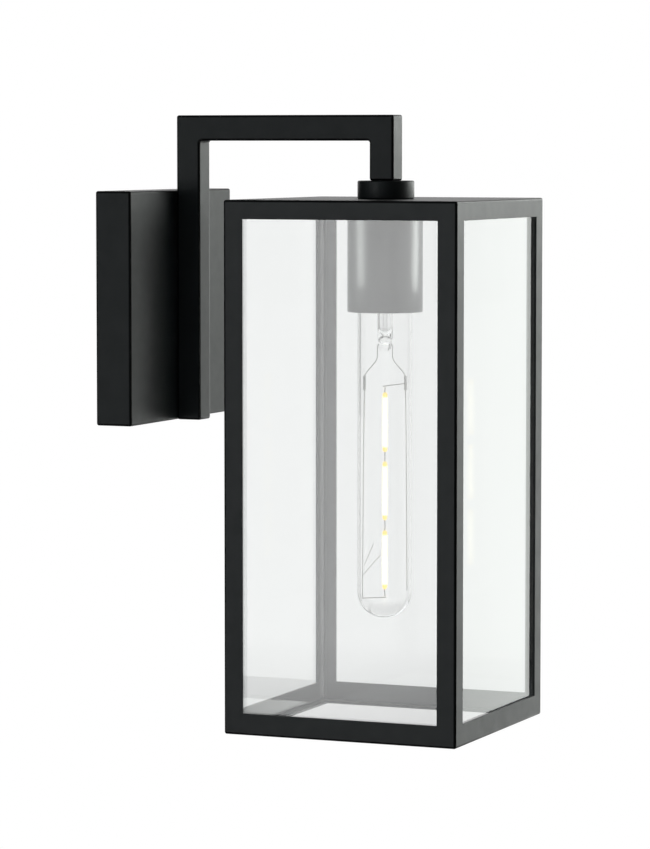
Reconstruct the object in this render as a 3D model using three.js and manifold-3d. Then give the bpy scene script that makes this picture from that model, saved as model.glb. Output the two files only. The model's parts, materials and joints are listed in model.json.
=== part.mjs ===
// Outdoor wall lantern: a square open-bottomed glass lantern, hung from a square-tube arm on a wall plate.
// Millimetres, +Z up. The wall is the plane Y = 0 and the light stands out from it towards -Y.
// The origin is the centre of the wall bracket's back face. "Left" is -X, "front" is -Y.
import * as THREE from "three";
import { mergeVertices } from "three/addons/utils/BufferGeometryUtils.js";
import Module from "manifold-3d";

const wasm = await Module();
wasm.setup();

// ---- Driving dimensions ----
const SHEET = 1.25; // wall of the folded and tubular steel pieces
const FRAME_SHEET = 1.5; // wall of the lantern's angle bars
const FIT = 0.25; // clearance of a piece that slips into another
const GAP = 0.3; // clearance round screws, threads and joints

const PLATE = { width: 140, height: 136, depth: 22.5 };
const BRACKET = { width: 22, sheet: 2, tabDepth: 16, slotCentre: 40, slotLength: 14, slotWidth: 4.75 };
const ARM = { side: 15, top: 112, foot: -68, reach: 138, drop: 74, screwZ: 35 };
const LANTERN = { width: 142.5, top: 63.5, bottom: -243.5 };
const POST_FACE = 11.5;
const TOP_RAIL = { face: 11, flange: 13.25, flangeTop: 62 };
const BOTTOM_RAIL = { face: 12.5, flange: 9.25 };
const PANE = { width: 131.5, thick: 3, top: 59.75 };
const CLIP = { width: 12, sheet: 1, leafInner: 58, tabFoot: 53.5 };
const COLLAR_RADIUS = 16.5;
const NIPPLE = { radius: 4.85, bore: 3.25, bottom: 52.5, top: 83 };
const CUP = { radius: 21.9, bottom: -2 };
const HOLDER = { radius: 18, bore: 14.25, bottom: 12, ceiling: 43, top: 47 };
const SHELL = { radius: 14, bore: 13.4, bottom: 14, top: 38 };
const BULB = { radius: 15.875, wall: 1, bottom: -181, shoulder: 2, neckRadius: 12.2, neckTop: 20 };
const CAP = { radius: 13, wall: 0.5, bottom: 14, top: 36, throat: 7 };
const CONTACT_TOP = 42;
const CONTACT_RADIUS = 4.75;
const INSULATOR_TOP = 40.5;
const BULB_TURN = THREE.MathUtils.degToRad(-67); // where the filament frame faces, bulb screwed home
const FILAMENT_RADIUS = 1.6;
const WIRE_RADIUS = 1;
const WIRE_PITCH = 1.2; // each supply wire's distance from the middle of the arm
const BUSH = { hole: 4.3, radius: 4, bore: 2.75, flange: 6 };
const SCREW = { shank: 2, hole: 2.3, head: 4, headHeight: 2.5 };

// ---- Derived places ----
const HALF = LANTERN.width / 2;
const AXIS_Y = -(PLATE.depth + ARM.reach - ARM.side / 2); // the lantern's vertical axis
const ARM_BACK = -PLATE.depth;
const ARM_TIP = -(PLATE.depth + ARM.reach);
const POST_BOTTOM = LANTERN.bottom + BOTTOM_RAIL.face;
const POST_TOP = LANTERN.top - TOP_RAIL.face;
const FRAME_INSIDE = HALF - FRAME_SHEET;
const QUARTER = Math.PI / 2;
const ROUND = 32; // sides of a large turned piece
const SMALL_ROUND = 16; // sides of a screw or a small bore

// ---- Finishes ----
const FINISH = {
  powderBlack: { color: 0x26292b, roughness: 0.55, metalness: 0.2 },
  zincSteel: { color: 0xb4b8bc, roughness: 0.38, metalness: 0.9 },
  brass: { color: 0xc39a4a, roughness: 0.35, metalness: 0.95 },
  aluminium: { color: 0xc8cbcd, roughness: 0.3, metalness: 0.9 },
  paneGlass: { color: 0xe6efec, roughness: 0.05, metalness: 0, transparent: true, opacity: 0.3 },
  bulbGlass: { color: 0xf4f5f2, roughness: 0.03, metalness: 0, transparent: true, opacity: 0.3 },
  porcelain: { color: 0xe9e5da, roughness: 0.3, metalness: 0 },
  vitrite: { color: 0x17181b, roughness: 0.25, metalness: 0 },
  filament: { color: 0xfff3c4, roughness: 0.6, metalness: 0, emissive: 0xffe9a8 },
  nickelWire: { color: 0x8c9090, roughness: 0.4, metalness: 0.8 },
  groundGreen: { color: 0x2f7d46, roughness: 0.4, metalness: 0.4 },
  blackPlastic: { color: 0x1b1c1d, roughness: 0.5, metalness: 0 },
  blackWire: { color: 0x1d1e20, roughness: 0.45, metalness: 0 },
  whiteWire: { color: 0xe8e8e4, roughness: 0.45, metalness: 0 },
  greenWire: { color: 0x2c8a4a, roughness: 0.45, metalness: 0 },
  orangePlastic: { color: 0xd9772b, roughness: 0.4, metalness: 0 },
};

// ---- Shape helpers ----
function box(x, y, z) {
  return new THREE.BoxGeometry(x[1] - x[0], y[1] - y[0], z[1] - z[0]).translate(
    (x[0] + x[1]) / 2,
    (y[0] + y[1]) / 2,
    (z[0] + z[1]) / 2,
  );
}

// An upright cylinder from one height to another, round the Z axis.
function rod(radius, from, to, sides = SMALL_ROUND) {
  return new THREE.CylinderGeometry(radius, radius, to - from, sides)
    .rotateX(QUARTER)
    .translate(0, 0, (from + to) / 2);
}

// A shape turned round the Z axis from [radius, height] points, in order with the material on their left.
function turned(points, sides = ROUND) {
  const profile = points.map(([radius, height]) => new THREE.Vector2(radius, height));
  return new THREE.LatheGeometry(profile, sides).rotateX(QUARTER);
}

function ring(inner, outer, from, to, sides = ROUND) {
  return turned([[inner, from], [outer, from], [outer, to], [inner, to], [inner, from]], sides);
}

function outline(points) {
  return new THREE.Shape(points.map(([x, y]) => new THREE.Vector2(x, y)));
}

function prism(points, depth) {
  return new THREE.ExtrudeGeometry(outline(points), { depth, bevelEnabled: false });
}

// A straight round bar between two points.
function bar(start, end, radius) {
  const a = new THREE.Vector3(...start);
  const b = new THREE.Vector3(...end);
  const along = b.clone().sub(a).normalize();
  const turn = new THREE.Quaternion().setFromUnitVectors(new THREE.Vector3(0, 1, 0), along);
  const middle = a.clone().add(b).multiplyScalar(0.5);
  return new THREE.CylinderGeometry(radius, radius, a.distanceTo(b), 8)
    .applyQuaternion(turn)
    .translate(middle.x, middle.y, middle.z);
}

// A flexible wire along a smooth curve through the given points.
function wire(points, radius, steps) {
  const path = new THREE.CatmullRomCurve3(points.map((p) => new THREE.Vector3(...p)), false, "centripetal");
  const section = new THREE.Shape().absarc(0, 0, radius, 0, 2 * Math.PI);
  const options = { steps, curveSegments: 4, extrudePath: path, bevelEnabled: false };
  return new THREE.ExtrudeGeometry(section, options);
}

function toSolid(geometry) {
  const bare = geometry.clone();
  bare.deleteAttribute("normal");
  bare.deleteAttribute("uv");
  const merged = mergeVertices(bare, 1e-4);
  return new wasm.Manifold(
    new wasm.Mesh({
      numProp: 3,
      vertProperties: merged.attributes.position.array,
      triVerts: new Uint32Array(merged.index.array),
    }),
  );
}

function toGeometry(solid) {
  const mesh = solid.getMesh();
  return new THREE.BufferGeometry()
    .setAttribute("position", new THREE.BufferAttribute(new Float32Array(mesh.vertProperties), 3))
    .setIndex(new THREE.BufferAttribute(new Uint32Array(mesh.triVerts), 1));
}

function cut(body, ...tools) {
  return toGeometry(tools.reduce((solid, tool) => solid.subtract(toSolid(tool)), toSolid(body)));
}

function join(first, ...others) {
  return toGeometry(others.reduce((solid, other) => solid.add(toSolid(other)), toSolid(first)));
}

function group(parent, name) {
  const made = new THREE.Group();
  made.name = name;
  parent.add(made);
  return made;
}

function addMesh(parent, name, geometry, finish) {
  if (!geometry.attributes.normal) geometry.computeVertexNormals();
  const mesh = new THREE.Mesh(geometry, new THREE.MeshStandardMaterial(FINISH[finish]));
  mesh.name = name;
  parent.add(mesh);
  return mesh;
}

// A rod or bore along Y, between two depths, through the given X and Z.
function rodAlongY(radius, from, to, x, z) {
  return rod(radius, from, to).rotateX(-QUARTER).translate(x, 0, z);
}

// The wire hole and the two screw holes, along Y, that pass through the plate, the arm and the nut bar.
function joiningHoles(from, to) {
  return [
    rodAlongY(BUSH.hole, from, to, 0, 0),
    rodAlongY(SCREW.hole, from, to, 0, ARM.screwZ),
    rodAlongY(SCREW.hole, from, to, 0, -ARM.screwZ),
  ];
}

const lantern = new THREE.Group();
lantern.name = "outdoor_wall_lantern";

// ---- Wall bracket, its earth screw and the boxed wall plate ----
const TAB_TOP = PLATE.height / 2 - SHEET - FIT;
const TAB_SCREW_Y = -9;
const EARTH_Z = 22;

function wallBracket() {
  const { width, sheet, tabDepth, slotCentre, slotLength, slotWidth } = BRACKET;
  const strap = box([-width / 2, width / 2], [-sheet, 0], [-TAB_TOP, TAB_TOP]);
  const tabs = [-TAB_TOP, TAB_TOP - sheet].map((foot) =>
    box([-width / 2, width / 2], [-tabDepth, 0], [foot, foot + sheet]),
  );
  const slots = [1, -1].map((side) =>
    box(
      [-slotWidth / 2, slotWidth / 2],
      [-sheet - 1, 1],
      [side * slotCentre - slotLength / 2, side * slotCentre + slotLength / 2],
    ),
  );
  const tabHole = rod(SCREW.hole, -PLATE.height, PLATE.height).translate(0, TAB_SCREW_Y, 0);
  const earthHole = rodAlongY(SCREW.hole, -sheet - 1, 1, 0, EARTH_Z);
  return cut(join(strap, ...tabs), ...slots, tabHole, earthHole);
}

function earthScrew() {
  const headBack = -BRACKET.sheet - GAP;
  return join(
    rodAlongY(SCREW.head, headBack - SCREW.headHeight, headBack, 0, EARTH_Z),
    rodAlongY(SCREW.shank, headBack - 1, -0.5, 0, EARTH_Z),
  );
}

const COUNTERSINK = { head: 3.6, top: PLATE.height / 2, depth: SHEET, shankLength: 8 };

// A countersunk screw standing upright with its flat head at the plate's edge.
function edgeScrew(spare) {
  const { head, top, depth, shankLength } = COUNTERSINK;
  const shank = SCREW.shank + spare;
  return turned(
    [
      [0, top - shankLength],
      [shank, top - shankLength],
      [shank, top - depth],
      [head + spare, top],
      [0, top],
    ],
    SMALL_ROUND,
  ).translate(0, TAB_SCREW_Y, 0);
}

function wallPlate() {
  const { width, height, depth } = PLATE;
  const shell = box([-width / 2, width / 2], [-depth, 0], [-height / 2, height / 2]);
  const hollow = box(
    [-width / 2 + SHEET, width / 2 - SHEET],
    [-depth + SHEET, 1],
    [-height / 2 + SHEET, height / 2 - SHEET],
  );
  const frontHoles = joiningHoles(-depth - 1, -depth + SHEET + 1);
  const sink = edgeScrew(GAP);
  return cut(shell, hollow, ...frontHoles, sink, sink.clone().rotateY(Math.PI));
}

const wall = group(lantern, "wall_group");
addMesh(wall, "wall_bracket", wallBracket(), "zincSteel");
addMesh(wall, "ground_screw", earthScrew(), "groundGreen");
addMesh(wall, "backplate", wallPlate(), "powderBlack");
addMesh(wall, "backplate_screw_upper", edgeScrew(0), "powderBlack");
addMesh(wall, "backplate_screw_lower", edgeScrew(0).rotateY(Math.PI), "powderBlack");

// ---- Arm: one welded inverted-U of square tube, screwed to the plate from inside ----
const TUBE_HALF = ARM.side / 2;
const BORE_HALF = TUBE_HALF - SHEET;
const RUN_UNDERSIDE = ARM.top - ARM.side;
const NUT_BAR = { halfWidth: 5.75, back: ARM_BACK - SHEET - FIT, thick: 3, halfLength: 42 };
const END_BLOCK = { half: BORE_HALF - FIT, height: 10 };

function armTube() {
  const tube = join(
    box([-TUBE_HALF, TUBE_HALF], [ARM_BACK - ARM.side, ARM_BACK], [ARM.foot, ARM.top]),
    box([-TUBE_HALF, TUBE_HALF], [ARM_TIP, ARM_BACK], [RUN_UNDERSIDE, ARM.top]),
    box([-TUBE_HALF, TUBE_HALF], [ARM_TIP, ARM_TIP + ARM.side], [ARM.drop, ARM.top]),
  );
  const ceiling = ARM.top - SHEET;
  const across = [-BORE_HALF, BORE_HALF];
  const bore = [
    box(across, [ARM_BACK - ARM.side + SHEET, ARM_BACK - SHEET], [ARM.foot + SHEET, ceiling]),
    box(across, [ARM_TIP + SHEET, ARM_BACK - SHEET], [RUN_UNDERSIDE + SHEET, ceiling]),
    box(across, [ARM_TIP + SHEET, ARM_TIP + ARM.side - SHEET], [ARM.drop - 1, ceiling]),
  ];
  return cut(tube, ...bore, ...joiningHoles(ARM_BACK - SHEET - 1, ARM_BACK + 1));
}

function armNutBar() {
  const { halfWidth, back, thick, halfLength } = NUT_BAR;
  const blank = box([-halfWidth, halfWidth], [back - thick, back], [-halfLength, halfLength]);
  return cut(blank, ...joiningHoles(back - thick - 1, back + 1));
}

function armScrew(z) {
  const headSeat = -PLATE.depth + SHEET;
  const tip = NUT_BAR.back - NUT_BAR.thick - 1;
  return join(
    rodAlongY(SCREW.head, headSeat, headSeat + SCREW.headHeight, 0, z),
    rodAlongY(SCREW.shank, tip, headSeat + 1, 0, z),
  );
}

// A flanged bush along Y that lines the wire hole from the plate's inside to the nut bar.
function wireBush() {
  const flangeSeat = -PLATE.depth + SHEET;
  const { radius, bore, flange } = BUSH;
  return turned([
    [bore, flangeSeat + 1.5],
    [bore, NUT_BAR.back],
    [radius, NUT_BAR.back],
    [radius, flangeSeat],
    [flange, flangeSeat],
    [flange, flangeSeat + 1.5],
    [bore, flangeSeat + 1.5],
  ], 24).rotateX(-QUARTER);
}

function armEndBlock() {
  const { half, height } = END_BLOCK;
  const block = box([-half, half], [-half, half], [ARM.drop, ARM.drop + height]);
  return cut(block, rod(NIPPLE.radius + GAP, 0, ARM.top));
}

const arm = group(lantern, "arm_group");
addMesh(arm, "arm_tube", armTube(), "powderBlack");
addMesh(arm, "arm_nut_bar", armNutBar(), "zincSteel");
addMesh(arm, "arm_screw_upper", armScrew(ARM.screwZ), "zincSteel");
addMesh(arm, "arm_screw_lower", armScrew(-ARM.screwZ), "zincSteel");
addMesh(arm, "wire_bushing", wireBush(), "blackPlastic");

// ---- Hanging stack: collar, threaded nipple, roof, socket cup, bracket, washer and nut ----
const CUP_CEILING = TOP_RAIL.flangeTop - SHEET;
const HANGER_SHEET = 1.5;
const HANGER = { halfWidth: 17, halfDepth: 6, footInner: 7 };
const WASHER = { radius: 8, thick: 1 };
const NUT = { radius: 8.1, height: 4 };
const HOLDER_SCREW = { x: 11, shank: 1.5, hole: 1.8, head: 2.9, headHeight: 2, depth: 3 };
const TERMINAL = { y: 12, shank: 1.4, hole: 1.7, head: 2.8, headHeight: 2, depth: 3 };
const CLEAR_BORE = NIPPLE.radius + FIT;

const hanging = group(lantern, "lantern_group");
hanging.position.y = AXIS_Y;

// An inverted-U strap with feet turned inwards, which the nipple's nut clamps under the cup's ceiling.
function socketHanger() {
  const { halfWidth, halfDepth, footInner } = HANGER;
  const section = [
    [halfWidth, HOLDER.top],
    [halfWidth, CUP_CEILING],
    [-halfWidth, CUP_CEILING],
    [-halfWidth, HOLDER.top],
    [-footInner, HOLDER.top],
    [-footInner, HOLDER.top + HANGER_SHEET],
    [-halfWidth + HANGER_SHEET, HOLDER.top + HANGER_SHEET],
    [-halfWidth + HANGER_SHEET, CUP_CEILING - HANGER_SHEET],
    [halfWidth - HANGER_SHEET, CUP_CEILING - HANGER_SHEET],
    [halfWidth - HANGER_SHEET, HOLDER.top + HANGER_SHEET],
    [footInner, HOLDER.top + HANGER_SHEET],
    [footInner, HOLDER.top],
  ];
  const strap = prism(section, 2 * halfDepth).translate(0, 0, -halfDepth).rotateX(QUARTER);
  const footHoles = [1, -1].map((side) =>
    rod(HOLDER_SCREW.hole, 0, HOLDER.top + 3).translate(side * HOLDER_SCREW.x, 0, 0),
  );
  return cut(strap, rod(CLEAR_BORE, CUP_CEILING - 5, CUP_CEILING + 5), ...footHoles);
}

function roundHeadScrew({ shank, head, headHeight, depth }, seat, throughTo) {
  return join(rod(head, seat, seat + headHeight), rod(shank, throughTo - depth, seat + 1));
}

const washerTop = CUP_CEILING - HANGER_SHEET;
const nutTop = washerTop - WASHER.thick;
addMesh(hanging, "arm_end_insert", armEndBlock(), "zincSteel");
addMesh(hanging, "collar", ring(CLEAR_BORE, COLLAR_RADIUS, LANTERN.top, ARM.drop), "powderBlack");
addMesh(hanging, "nipple", ring(NIPPLE.bore, NIPPLE.radius, NIPPLE.bottom, NIPPLE.top, 24), "zincSteel");
addMesh(hanging, "lock_washer", ring(CLEAR_BORE, WASHER.radius, nutTop, washerTop, 24), "zincSteel");
addMesh(
  hanging,
  "nipple_nut",
  cut(rod(NUT.radius, nutTop - NUT.height, nutTop, 6), rod(CLEAR_BORE, 0, NIPPLE.top)),
  "zincSteel",
);
addMesh(hanging, "socket_bracket", socketHanger(), "zincSteel");

// ---- Socket cup and the lampholder inside it ----
function socketCup() {
  const { radius, bottom } = CUP;
  return turned([
    [CLEAR_BORE, CUP_CEILING],
    [radius - SHEET, CUP_CEILING],
    [radius - SHEET, bottom],
    [radius, bottom],
    [radius, TOP_RAIL.flangeTop],
    [CLEAR_BORE, TOP_RAIL.flangeTop],
    [CLEAR_BORE, CUP_CEILING],
  ]);
}

function lampholderBody() {
  const { radius, bore, bottom, ceiling, top } = HOLDER;
  const body = turned([
    [0, ceiling],
    [bore, ceiling],
    [bore, bottom],
    [radius, bottom],
    [radius, top],
    [0, top],
  ]);
  const holes = [1, -1].flatMap((side) => [
    rod(HOLDER_SCREW.hole, ceiling + 0.5, top + 1).translate(side * HOLDER_SCREW.x, 0, 0),
    rod(TERMINAL.hole, ceiling + 0.5, top + 1).translate(0, side * TERMINAL.y, 0),
  ]);
  return cut(body, ...holes);
}

addMesh(hanging, "socket_cup", socketCup(), "powderBlack");
addMesh(hanging, "lampholder_body", lampholderBody(), "porcelain");
addMesh(hanging, "lampholder_shell", ring(SHELL.bore, SHELL.radius, SHELL.bottom, SHELL.top), "aluminium");
addMesh(hanging, "lampholder_contact", box([-3, 3], [-9, 9], [CONTACT_TOP, HOLDER.ceiling]), "brass");
for (const [name, side] of [["left", -1], ["right", 1]]) {
  const screw = roundHeadScrew(HOLDER_SCREW, HOLDER.top + HANGER_SHEET, HOLDER.top);
  addMesh(hanging, `bracket_screw_${name}`, screw.translate(side * HOLDER_SCREW.x, 0, 0), "zincSteel");
}
for (const [name, side, finish] of [["live", 1, "brass"], ["neutral", -1, "zincSteel"]]) {
  const screw = roundHeadScrew(TERMINAL, HOLDER.top + GAP, HOLDER.top);
  addMesh(hanging, `terminal_screw_${name}`, screw.translate(0, side * TERMINAL.y, 0), finish);
}

// ---- Lantern frame: mitred top and bottom rings of angle, four angle posts, a roof and four panes ----

// One side of a square ring, mitred at 45 degrees, from a section of [reach from the axis, height] points.
function mitredSide(section) {
  const side = prism(section, 2);
  const place = side.attributes.position;
  for (let i = 0; i < place.count; i++) {
    const reach = place.getX(i);
    const along = 1 - place.getZ(i);
    place.setXYZ(i, along * reach, -reach, place.getY(i));
  }
  return side;
}

const topSection = [
  [HALF, POST_TOP],
  [HALF, LANTERN.top],
  [FRAME_INSIDE, LANTERN.top],
  [FRAME_INSIDE, TOP_RAIL.flangeTop],
  [HALF - TOP_RAIL.flange, TOP_RAIL.flangeTop],
  [HALF - TOP_RAIL.flange, TOP_RAIL.flangeTop - FRAME_SHEET],
  [FRAME_INSIDE, TOP_RAIL.flangeTop - FRAME_SHEET],
  [FRAME_INSIDE, POST_TOP],
];
const bottomSection = [
  [HALF, LANTERN.bottom],
  [HALF, POST_BOTTOM],
  [FRAME_INSIDE, POST_BOTTOM],
  [FRAME_INSIDE, LANTERN.bottom + FRAME_SHEET],
  [HALF - BOTTOM_RAIL.flange, LANTERN.bottom + FRAME_SHEET],
  [HALF - BOTTOM_RAIL.flange, LANTERN.bottom],
];

function cornerPost() {
  const angle = [
    [HALF, -HALF],
    [HALF, -HALF + POST_FACE],
    [FRAME_INSIDE, -HALF + POST_FACE],
    [FRAME_INSIDE, -FRAME_INSIDE],
    [HALF - POST_FACE, -FRAME_INSIDE],
    [HALF - POST_FACE, -HALF],
  ];
  return prism(angle, POST_TOP - POST_BOTTOM).translate(0, 0, POST_BOTTOM);
}

function glassPane() {
  const outside = -FRAME_INSIDE + FIT;
  return box(
    [-PANE.width / 2, PANE.width / 2],
    [outside, outside + PANE.thick],
    [LANTERN.bottom + FRAME_SHEET, PANE.top],
  );
}

// A spring tab under the top flange that holds the pane's upper edge against the frame.
function paneClip() {
  const { width, sheet, leafInner, tabFoot } = CLIP;
  const seat = TOP_RAIL.flangeTop - FRAME_SHEET;
  const face = FRAME_INSIDE - PANE.thick - 2 * FIT;
  const section = [
    [leafInner, seat - sheet],
    [face - sheet, seat - sheet],
    [face - sheet, tabFoot],
    [face, tabFoot],
    [face, seat],
    [leafInner, seat],
  ];
  return prism(section.map(([reach, height]) => [-reach, height]).reverse(), width)
    .translate(0, 0, -width / 2)
    .rotateX(QUARTER)
    .rotateZ(QUARTER);
}

function roofPlate() {
  const across = [-FRAME_INSIDE + FIT, FRAME_INSIDE - FIT];
  return cut(box(across, across, [TOP_RAIL.flangeTop, LANTERN.top]), rod(CLEAR_BORE, 0, ARM.top));
}

addMesh(hanging, "roof_plate", roofPlate(), "powderBlack");
["front", "right", "back", "left"].forEach((side, turn) => {
  const face = group(hanging, `${side}_face`);
  face.rotation.z = turn * QUARTER;
  addMesh(face, `top_rail_${side}`, mitredSide(topSection), "powderBlack");
  addMesh(face, `bottom_rail_${side}`, mitredSide(bottomSection), "powderBlack");
  addMesh(face, `glass_pane_${side}`, glassPane(), "paneGlass");
  addMesh(face, `pane_clip_${side}`, paneClip(), "zincSteel");
});
["front_right", "back_right", "back_left", "front_left"].forEach((corner, turn) => {
  addMesh(hanging, `corner_post_${corner}`, cornerPost(), "powderBlack").rotation.z = turn * QUARTER;
});

// ---- Bulb: a tubular screw-in lamp with three filament sticks in line on its axis ----
const bulb = group(hanging, "bulb_group");

// A quarter circle of [radius, height] points round a centre on the axis, from the pole up to the side.
function dome(radius, centre, steps) {
  return Array.from({ length: steps + 1 }, (_, i) => {
    const angle = (i / steps) * QUARTER;
    return [radius * Math.sin(angle), centre - radius * Math.cos(angle)];
  });
}

function bulbGlass() {
  const { radius, wall: thick, bottom, shoulder, neckRadius, neckTop } = BULB;
  const centre = bottom + radius;
  const neckStart = CAP.bottom - 3;
  const surface = (inset) => [
    ...dome(radius - inset, centre, 6),
    [radius - inset, shoulder - inset / 2],
    [neckRadius - inset, neckStart - inset / 2],
    [neckRadius - inset, neckTop],
  ];
  return turned([...surface(0), ...surface(thick).reverse()], 24);
}

function bulbCap() {
  const { radius, wall: thick, bottom, top, throat } = CAP;
  return turned([
    [radius, bottom],
    [radius, top - 2],
    [throat + thick, top],
    [throat, top],
    [throat, top - thick],
    [radius - thick, top - 2 - thick],
    [radius - thick, bottom],
    [radius, bottom],
  ], 24);
}

function bulbInsulator() {
  const foot = CAP.top;
  return turned([[0, foot], [CAP.throat, foot], [CONTACT_RADIUS, INSULATOR_TOP], [0, INSULATOR_TOP]], 24);
}

// The glass stem that carries the leads: a flare at the neck, an exhaust tube and a flattened press.
function bulbStem() {
  const press = [[0, -25], [2.6, -24.8], [3.7, -23], [3.7, -19.6], [4.5, -18.6]];
  const flareOutside = [[4.5, 4], [5.2, 9], [9, 14], [10.8, 18]];
  const flareInside = [[10, 18], [8.2, 14.5], [4.4, 9.5], [3.7, 4], [3.7, -14.5]];
  const exhaustTube = [[1.6, -15.5], [1.6, 22], [0.9, 22], [0.9, -11], [0, -12]];
  return turned([...press, ...flareOutside, ...flareInside, ...exhaustTube], 16);
}

// Each lead leaves the press, flares out to a crimp and carries on as a straight support wire.
const LEAD = { radius: 0.3, out: 4.4, start: -20, bend: -30 };
const CRIMP = { radius: 0.65, out: 11.9, top: -39.3, foot: -47.9 };
const WIRE_FOOT_OUT = 13;
const LEFT_WIRE_FOOT = -169.7;
const RIGHT_WIRE_FOOT = -165;
const FILAMENTS = {
  upper: [-46, -49, -83.5, -86.3],
  middle: [-86.6, -89.4, -123.4, -126.4],
  lower: [-126.7, -129.7, -163.9, -168.3],
};
// Cross wires to the filaments' ends, each as [how far out, height] at its support wire and past the axis.
const UPPER_LINK = [[CRIMP.out, -43.7], [-1.3, -45.4]];
const LOWER_LINK = [[WIRE_FOOT_OUT, -169.4], [-0.6, -168.9]];

function supportWire(side, foot, link) {
  const { radius, out, start, bend } = LEAD;
  const at = ([reach, height]) => [side * reach, 0, height];
  return join(
    bar(at([out, start]), at([out, bend - radius]), radius),
    bar(at([out, bend]), at([CRIMP.out, CRIMP.top]), radius),
    bar(at([CRIMP.out, CRIMP.top + 1]), at([CRIMP.out, CRIMP.foot]), CRIMP.radius),
    bar(at([CRIMP.out, CRIMP.foot + 1]), at([WIRE_FOOT_OUT, foot]), radius),
    bar(at(link[0]), at(link[1]), radius),
  );
}

// A coated filament stick with its two thin electrode pins.
function filament(pinTop, top, bottom, pinBottom) {
  const pin = 0.35;
  return turned([
    [0, pinBottom],
    [pin, pinBottom],
    [pin, bottom],
    [FILAMENT_RADIUS, bottom],
    [FILAMENT_RADIUS, top],
    [pin, top],
    [pin, pinTop],
    [0, pinTop],
  ], 12);
}

addMesh(bulb, "bulb_glass", bulbGlass(), "bulbGlass");
addMesh(bulb, "bulb_cap", bulbCap(), "aluminium");
addMesh(bulb, "bulb_insulator", bulbInsulator(), "vitrite");
addMesh(bulb, "bulb_contact", rod(CONTACT_RADIUS, INSULATOR_TOP, CONTACT_TOP, 24), "zincSteel");
addMesh(bulb, "bulb_stem", bulbStem(), "bulbGlass");
const filamentFrame = group(bulb, "filament_frame");
filamentFrame.rotation.z = BULB_TURN;
const leftWire = supportWire(-1, LEFT_WIRE_FOOT, LOWER_LINK);
const rightWire = supportWire(1, RIGHT_WIRE_FOOT, UPPER_LINK);
addMesh(filamentFrame, "support_wire_left", leftWire, "nickelWire");
addMesh(filamentFrame, "support_wire_right", rightWire, "nickelWire");
for (const [name, heights] of Object.entries(FILAMENTS)) {
  addMesh(filamentFrame, `filament_${name}`, filament(...heights), "filament");
}

// ---- Supply wires, their twist-on connectors and the earth wire ----
const TUBE_MIDDLE = ARM_BACK - ARM.side / 2;
const RUN_MIDDLE = ARM.top - ARM.side / 2;
const CONNECTOR = { x: 26, y: -11, bottom: -46, mouth: -26, mouthRadius: 6.5, tipRadius: 4 };
const CONNECTOR_BORE = { radius: 3.2, depth: 14 };

function wireConnector(side) {
  const { x, y, bottom, mouth, mouthRadius, tipRadius } = CONNECTOR;
  return turned([
    [0, bottom],
    [tipRadius, bottom],
    [mouthRadius, mouth],
    [CONNECTOR_BORE.radius, mouth],
    [CONNECTOR_BORE.radius, mouth - CONNECTOR_BORE.depth],
    [0, mouth - CONNECTOR_BORE.depth],
  ], 16).translate(side * x, y, 0);
}

// From inside the connector, through the bush, up and along the arm, and down the nipple to a terminal.
function supplyWire(side) {
  const x = side * WIRE_PITCH;
  const { x: far, y, mouth } = CONNECTOR;
  const terminalEdge = AXIS_Y - side * (TERMINAL.y - TERMINAL.head - GAP);
  return wire(
    [
      [side * far, y, mouth - 10],
      [side * far, y, mouth],
      [side * far, y, mouth + 10],
      [side * far * 0.6, y - 3, -2],
      [side * 5, -16, 0.6],
      [x, -19, 0.6],
      [x, -23, 0.6],
      [x, -27, 1],
      [x, TUBE_MIDDLE, 5],
      [x, TUBE_MIDDLE, 14],
      [x, TUBE_MIDDLE, RUN_MIDDLE - 12],
      [x, TUBE_MIDDLE - 3, RUN_MIDDLE - 3],
      [x, TUBE_MIDDLE - 12, RUN_MIDDLE],
      [x, AXIS_Y + 12, RUN_MIDDLE],
      [x, AXIS_Y + 3, RUN_MIDDLE - 3],
      [x, AXIS_Y, RUN_MIDDLE - 12],
      [x, AXIS_Y, NIPPLE.bottom],
      [x, AXIS_Y - side * 2, NIPPLE.bottom - 2.2],
      [x * 0.4, terminalEdge + side * 2, HOLDER.top + 1.4],
      [0, terminalEdge, HOLDER.top + 1.3],
    ],
    WIRE_RADIUS,
    76,
  );
}

function earthWire() {
  return wire(
    [
      [SCREW.head + WIRE_RADIUS + GAP, -4, EARTH_Z],
      [6, -7, EARTH_Z - 3],
      [2, -11, 10],
      [0, -15, 2],
      [0, -17.5, -1.2],
      [0, -20, -1.3],
      [0, -23, -1.3],
      [0, -27, -1.8],
      [0, TUBE_MIDDLE, -5],
      [0, TUBE_MIDDLE, -14],
      [0, TUBE_MIDDLE, -ARM.screwZ + 4],
    ],
    WIRE_RADIUS,
    40,
  );
}

for (const [name, side, finish] of [["live", -1, "blackWire"], ["neutral", 1, "whiteWire"]]) {
  addMesh(wall, `wire_nut_${name}`, wireConnector(side), "orangePlastic");
  addMesh(arm, `${name}_wire`, supplyWire(side), finish);
}
addMesh(arm, "ground_wire", earthWire(), "greenWire");

export default lantern;
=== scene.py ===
"""Looks of the outdoor wall lantern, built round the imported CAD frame. Metres, +Z up, wall at Y = 0."""

import json
import math

import bmesh
import bpy
from mathutils import Matrix, Vector


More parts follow.
